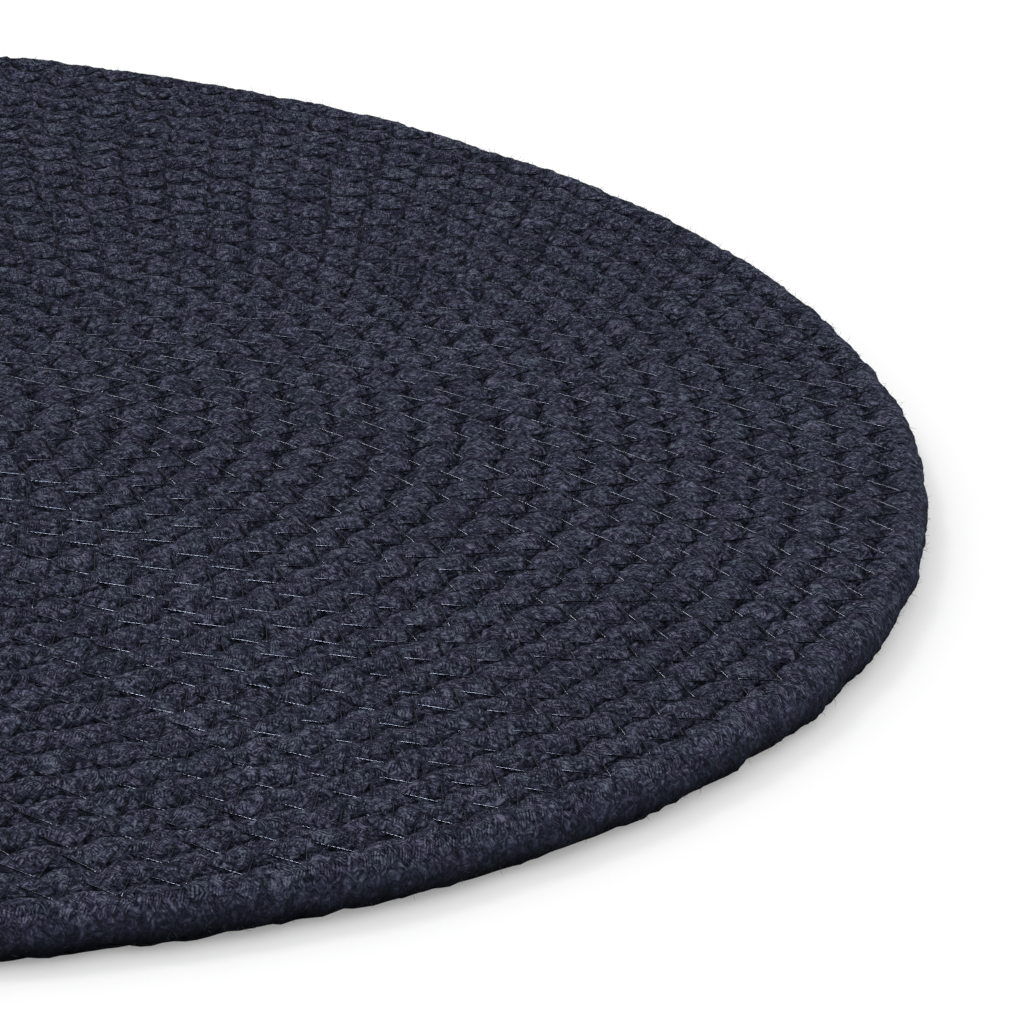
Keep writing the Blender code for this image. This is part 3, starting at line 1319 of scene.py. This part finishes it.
@dataclass(frozen=True)
class CottonFinish:
    """Dyed navy cotton: matt and fuzzy, with painted shade in the gaps between its yarns, in its creases,
    seams and stitch grooves and towards the table, and a painted sheen on its lightest parts.
    """

    name: str = "navy_braided_cotton"
    deep_colour: Colour = (0.0465, 0.0525, 0.0880)
    pale_sheen_colour: Colour = (0.0503, 0.0541, 0.0752)
    violet: Colour = (1.05, 0.985, 1.03)
    teal: Colour = (0.955, 1.015, 0.97)
    roughness: float = 0.9
    specular: float = 0.02
    sheen: float = 0.005
    sheen_roughness: float = 0.45
    sheen_tint: tuple[float, float, float, float] = (0.55, 0.62, 0.85, 1.0)
    painted_gap_shade: float = 0.12
    worn_yarn: float = 0.12
    worn_span: Span = (5.0 * MM, 8.2 * MM)
    valley_yarn: float = 0.35
    even_yarn: float = 0.40
    even_shade: float = 0.75
    even_share: float = 0.32
    even_span: Span = (1.0 * MM, 7.5 * MM)
    brightest: float = 2.6
    yarn_shade: float = 2.7
    strand_shades: Span = (0.80, 1.20)
    cloud_shades: Span = (0.60, 1.40)
    fuzz_contrast: float = 2.3
    matting_contrast: float = 2.2
    valley_matting: float = 7.0
    painted_crease_shade: float = 0.34
    painted_fine_crease_shade: float = 0.46
    wisp_shade: float = 1.75
    lint_shade: float = 0.3
    painted_groove_shade: float = 0.45
    painted_seam_shade: float = 0.60
    bump: float = 0.45 * MM
    fuzz_height: float = 0.35
    cut_height: float = -0.5
    painted_shade_height: float = 8.2 * MM
    painted_low_shade: float = 0.03
    painted_shade_power: float = 1.45
    pale_sheen_span: Span = (0.3, 1.8)
    patch_span: Span = (0.38, 0.62)
    braid: Braid = Braid()

    def material(self) -> Material:
        """Make the material.

        Returns:
            The new material.
        """
        plain = {
            "Roughness": self.roughness,
            "Specular IOR Level": self.specular,
            "Sheen Weight": self.sheen,
            "Sheen Roughness": self.sheen_roughness,
            "Sheen Tint": self.sheen_tint,
        }
        material, wiring, shader = new_material(self.name, plain)
        yarn = wiring.group(BraidedYarn().tree(), Place=wiring.uv("braid"))
        yarn.inputs["Cell Along"].default_value = self.braid.cell_along / MM
        yarn.inputs["Cell Across"].default_value = self.braid.cell_across / MM
        place = wiring.node("ShaderNodeTexCoord").outputs["Object"]
        fuzz = wiring.group(CottonFuzz().tree(), Place=place)
        wiring.put(fuzz.inputs["Cord Place"], wiring.uv("braid"))
        seams = self.seams(wiring)
        low = wiring.split(place)[2]
        amount = self.shading(wiring, yarn.outputs, fuzz.outputs, seams, low)
        # Painted sheen: the lightest parts turn a paler, greyer colour.
        pale = wiring.spread(amount, *self.pale_sheen_span, 0.0, 1.0)
        colour = wiring.mix(self.deep_colour, self.pale_sheen_colour, pale)
        patch = wiring.spread(fuzz.outputs["Patch"], *self.patch_span, 0.0, 1.0)
        colour = wiring.times(colour, wiring.mix(self.violet, self.teal, patch))
        wiring.put(shader.inputs["Base Color"], wiring.scale(colour, amount))
        height = wiring.math("MULTIPLY_ADD", fuzz.outputs["Fuzz"], self.fuzz_height, yarn.outputs["Height"])
        height = wiring.math("MULTIPLY_ADD", seams["Cut"], self.cut_height, height)
        wiring.put(shader.inputs["Normal"], wiring.bump(height, self.bump))
        return material

    def seams(self, wiring: Wiring) -> dict[str, Socket]:
        """Masks of the stitches, each the stronger of the cord's two seams.

        Args:
            wiring: The material's wiring.

        Returns:
            The masks by name. A cut is a groove or a hole.
        """
        inner, outer = (
            wiring.group(StitchGroove().tree(), Place=wiring.uv(name)).outputs
            for name in ("inner_seam", "outer_seam")
        )
        found = {name: wiring.math("MAXIMUM", inner[name], outer[name]) for name in StitchGroove.gives}
        found["Cut"] = wiring.math("MAXIMUM", found["Groove"], found["Hole"])
        return found

    def shading(
        self,
        wiring: Wiring,
        yarn: Outputs,
        fuzz: Outputs,
        seams: dict[str, Socket],
        low: Socket,
    ) -> Socket:
        """How dark or light the cotton is.

        Args:
            wiring: The material's wiring.
            yarn: What the braid gives.
            fuzz: What the fuzz gives.
            seams: The masks of the stitches.
            low: Height above the table.

        Returns:
            The amount by which the colour is made darker or lighter.
        """
        clear = wiring.spread(low, *self.worn_span, self.worn_yarn, 1.0)
        clear = wiring.product(clear, wiring.blend(1.0, self.valley_yarn, seams["Valley"]))
        yarns = wiring.blend(self.even_yarn, yarn["Shade"], clear)
        matting = wiring.blend(self.matting_contrast, self.valley_matting, seams["Valley"])
        amount = wiring.product(
            # Painted shade in the gaps between the yarns.
            wiring.blend(self.painted_gap_shade, self.yarn_shade, yarns),
            wiring.blend(*self.strand_shades, yarn["Tint"]),
            wiring.blend(*self.cloud_shades, fuzz["Cloud"]),
            wiring.swing(fuzz["Fuzz"], self.fuzz_contrast),
            wiring.swing(fuzz["Matting"], matting),
            # Painted shade along the creases in the fuzz.
            wiring.blend(1.0, self.painted_crease_shade, fuzz["Crease"]),
            wiring.blend(1.0, self.painted_fine_crease_shade, fuzz["Fine Crease"]),
            wiring.blend(1.0, self.wisp_shade, fuzz["Wisp"]),
            # Painted shade in the thread's grooves and needle holes.
            wiring.blend(1.0, self.painted_groove_shade, seams["Cut"]),
            # Painted shade along the seams between turns.
            wiring.blend(1.0, self.painted_seam_shade, seams["Seam"]),
        )
        amount = wiring.math("MULTIPLY_ADD", fuzz["Lint"], self.lint_shade, amount)
        amount = wiring.math("MINIMUM", amount, self.brightest)
        varied = wiring.spread(low, *self.even_span, self.even_share, 1.0)
        amount = wiring.blend(self.even_shade, amount, varied)
        # Painted shade: the cotton darkens towards the table, nearly to black at the rim's foot.
        painted_table_shade = wiring.spread(low, 0.0, self.painted_shade_height, self.painted_low_shade, 1.0)
        return wiring.product(amount, wiring.math("POWER", painted_table_shade, self.painted_shade_power))


@dataclass(frozen=True)
class ThreadFinish:
    """Shiny twisted sewing thread, nearly black except where it mirrors a lamp."""

    name: str = "navy_sewing_thread"
    colour: Colour = (0.00016, 0.00018, 0.00026)
    ply_shades: Span = (0.45, 1.3)
    ply_roughness: Span = (0.21, 0.13)
    specular: float = 0.012
    specular_tint: tuple[float, float, float, float] = (0.62, 0.74, 1.0, 1.0)
    twist: float = 0.6
    bump: float = 0.008 * MM

    def material(self) -> Material:
        """Make the material.

        Returns:
            The new material.
        """
        plain = {"Specular IOR Level": self.specular, "Specular Tint": self.specular_tint}
        material, wiring, shader = new_material(self.name, plain)
        along, across, unused = wiring.split(wiring.uv("thread"))
        turn = wiring.math("ADD", wiring.math("DIVIDE", along, self.twist), across)
        ply = wiring.math("SINE", wiring.product(turn, 2.0 * math.pi))
        ply = wiring.math("MULTIPLY_ADD", ply, 0.5, 0.5)
        shade = wiring.blend(*self.ply_shades, ply)
        wiring.put(shader.inputs["Base Color"], wiring.scale(self.colour, shade))
        wiring.put(shader.inputs["Roughness"], wiring.blend(*self.ply_roughness, ply))
        wiring.put(shader.inputs["Normal"], wiring.bump(ply, self.bump))
        return material


@dataclass(frozen=True)
class FibreFinish:
    """Loose cotton fibres, paler than the yarns because light passes through them."""

    name: str = "loose_cotton_fibre"
    colour: Colour = (0.035, 0.040, 0.062)
    fuzz_shades: Span = (0.6, 1.5)
    roughness: float = 0.85
    specular: float = 0.3

    def material(self) -> Material:
        """Make the material.

        Returns:
            The new material.
        """
        plain = {"Roughness": self.roughness, "Specular IOR Level": self.specular}
        material, wiring, shader = new_material(self.name, plain)
        place = wiring.node("ShaderNodeTexCoord").outputs["Object"]
        fuzz = wiring.group(CottonFuzz().tree(), Place=place)
        amount = wiring.blend(*self.fuzz_shades, fuzz.outputs["Fuzz"])
        wiring.put(shader.inputs["Base Color"], wiring.scale(self.colour, amount))
        return material


@dataclass(frozen=True)
class Lamp:
    """A soft light: where it hangs, the point it looks at, its size and its power."""

    name: str
    place: Point
    aim: Point
    width: float
    depth: float
    power: float
    spread: float = math.pi


@dataclass(frozen=True)
class Studio:
    """The pale table, the soft light and the camera, which aren't part of the mat."""

    middle: Vector
    threads: bpy.types.Collection
    table_size: float = 12.0
    table_colour: tuple[float, float, float, float] = (0.72, 0.72, 0.722, 1.0)
    table_roughness: float = 0.9
    table_glow: float = 0.24
    world_strength: float = 1.0
    key: Lamp = Lamp("key_light", (-1.0, 1.0, 1.92), (0.0, 0.0, 0.0), 0.6, 0.6, 10.0)
    glints: tuple[Lamp, ...] = (
        Lamp("long_glint", (-0.09, 0.15, 0.50), (0.11, -0.08, 0.0), 0.22, 0.26, 30.0, math.radians(60.0)),
        Lamp("front_glint", (0.0, -0.05, 0.50), (0.08, -0.12, 0.0), 0.32, 0.16, 32.0, math.radians(45.0)),
    )
    camera_back: float = 0.81819
    camera_height: float = 0.33846
    yaw: float = math.radians(8.4293)
    pitch: float = math.radians(22.9782)
    roll: float = math.radians(-3.9845)
    focal_pixels: float = 5227.5
    clip: Span = (0.01, 50.0)

    def build(self) -> None:
        """Set up everything round the mat."""
        self.lay_table()
        self.light_world()
        self.hang_light(self.key)
        for lamp in self.glints:
            self.hang_light(lamp).light_linking.receiver_collection = self.threads
        self.set_camera()
        bpy.context.scene.view_settings.view_transform = "Standard"

    def lay_table(self) -> None:
        """Lay a plain pale table under the mat."""
        half = self.table_size / 2.0
        mesh = bpy.data.meshes.new("table")
        corners = [(-half, -half, 0.0), (half, -half, 0.0), (half, half, 0.0), (-half, half, 0.0)]
        mesh.from_pydata(corners, [], [(0, 1, 2, 3)])
        table = bpy.data.objects.new("table", mesh)
        bpy.context.scene.collection.objects.link(table)
        plain = {
            "Base Color": self.table_colour,
            "Roughness": self.table_roughness,
            "Specular IOR Level": 0.0,
            "Emission Color": WHITE,
            "Emission Strength": self.table_glow,
        }
        dress(table, new_material("pale_table", plain)[0])

    def light_world(self) -> None:
        """Surround the mat with even white light."""
        world = bpy.data.worlds.new("soft_white")
        world.use_nodes = True
        background = world.node_tree.nodes["Background"]
        background.inputs["Color"].default_value = WHITE
        background.inputs["Strength"].default_value = self.world_strength
        bpy.context.scene.world = world

    def hang_light(self, lamp: Lamp) -> Piece:
        """Hang a soft light.

        Args:
            lamp: The light's place and sizes.

        Returns:
            The light.
        """
        data = bpy.data.lights.new(lamp.name, "AREA")
        data.shape = "RECTANGLE"
        data.size, data.size_y = lamp.width, lamp.depth
        data.energy, data.spread = lamp.power, lamp.spread
        light = bpy.data.objects.new(lamp.name, data)
        light.location = lamp.place
        away = Vector(lamp.place) - Vector(lamp.aim)
        light.rotation_euler = away.to_track_quat("Z", "Y").to_euler()
        light.visible_camera = False
        bpy.context.scene.collection.objects.link(light)
        return light

    def set_camera(self) -> None:
        """Set the camera in front of the mat, looking down at its right-hand side."""
        level = math.cos(self.pitch)
        ahead = Vector((math.sin(self.yaw) * level, math.cos(self.yaw) * level, -math.sin(self.pitch)))
        right = Vector((math.cos(self.yaw), -math.sin(self.yaw), 0.0))
        up = right.cross(ahead)
        across = right * math.cos(self.roll) - up * math.sin(self.roll)
        upright = right * math.sin(self.roll) + up * math.cos(self.roll)
        turned = Matrix((across, upright, -ahead)).transposed()
        data = bpy.data.cameras.new("camera")
        data.sensor_width = SENSOR_WIDTH
        data.lens = self.focal_pixels / PHOTO_PIXELS * SENSOR_WIDTH
        data.clip_start, data.clip_end = self.clip
        camera = bpy.data.objects.new("camera", data)
        camera.rotation_mode = "QUATERNION"
        camera.rotation_quaternion = turned.to_quaternion()
        camera.location = self.middle + Vector((0.0, -self.camera_back, self.camera_height))
        bpy.context.scene.collection.objects.link(camera)
        bpy.context.scene.camera = camera


def fit(piece: Piece, material: Material) -> Piece:
    """Dress a piece, let it ride the mat's body, and log its triangles.

    Args:
        piece: The piece.
        material: Its only material.

    Returns:
        The piece.
    """
    dress(piece, material)
    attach(piece, BODY)
    triangles = sum(len(face.vertices) - 2 for face in piece.data.polygons)
    log.info("%s: %d triangles", piece.name, triangles)
    return piece


@dataclass
class Placemat:
    """The whole mat, from its sizes to its dressed pieces."""

    coil: Coil = field(default_factory=Coil)
    braid: Braid = field(default_factory=Braid)
    inner_radius: float = 114.0 * MM
    middle_radius: float = 147.0 * MM
    top_columns: int = 12
    top_steps: tuple[float, float, float] = (0.72 * MM, 0.70 * MM, 0.80 * MM)
    underside_columns: int = 6
    underside_step: float = 1.6 * MM
    top_shares: tuple[float, ...] = (0.0, 0.05, 0.12, 0.5, 0.88, 0.95, 1.0)
    underside_shares: tuple[float, ...] = (0.0, 0.07, 0.93, 1.0)
    threads: bpy.types.Collection = field(init=False)

    def bands(self, skin: CordSkin) -> list[CordTurns]:
        """The bands of turns that make up the cord's two faces.

        Args:
            skin: The cord's surface.

        Returns:
            The bands, from the middle outwards, then the underside.
        """
        coil = self.coil
        inner = (self.inner_radius - coil.eye_radius) / coil.pitch
        middle = (self.middle_radius - coil.eye_radius) / coil.pitch
        edges = (-coil.tuck_turns, inner, middle, coil.turns)
        names = ("cord_inner_turns", "cord_middle_turns", "cord_outer_turns")
        bands = []
        for name, first, last, step in zip(names, edges, edges[1:], self.top_steps):
            bands.append(CordTurns(name, skin, first, last, Face.TOP, step, self.top_columns))
        ends, paces = (edges[0], edges[-1]), (self.underside_step, self.underside_columns)
        return [*bands, CordTurns("cord_underside", skin, *ends, Face.UNDERSIDE, *paces)]

    def build(self) -> None:
        """Build and dress every piece, and hide the imported solid."""
        seam = ZigzagSeam(self.coil)
        skin = CordSkin(self.coil, seam, self.braid)
        cotton = CottonFinish(braid=self.braid).material()
        trim = self.sew(seam, skin)
        trim.append(fit(StrayFibres(skin).build(), FibreFinish().material()))
        for band in self.bands(skin):
            piece = fit(band.build(), cotton)
            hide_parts(CAD_NODE)
            band.flat_size()
            band.flat_area()

    def sew(self, seam: ZigzagSeam, skin: CordSkin) -> list[Piece]:
        """Sew the zigzag on both faces.

        Args:
            seam: The stitches' places.
            skin: The cord's surface.

        Returns:
            The pieces of thread.
        """
        material = ThreadFinish().material()
        self.threads = bpy.data.collections.new("sewing_threads")
        pieces = []
        for name, face, shares in (
            ("zigzag_thread_top", Face.TOP, self.top_shares),
            ("zigzag_thread_underside", Face.UNDERSIDE, self.underside_shares),
        ):
            piece = fit(SeamThread(name, seam, skin, face, shares).build(), material)
            self.threads.objects.link(piece)
            pieces.append(piece)
        return pieces


def main() -> None:
    """Build the mat and what stands round it."""
    logging.basicConfig(level=logging.INFO, format="%(name)s: %(message)s")
    placemat = Placemat()
    placemat.build()
    Studio(placemat.coil.middle(), placemat.threads).build()
    log.info("table, light and camera set")


if __name__ == "__main__":
    main()
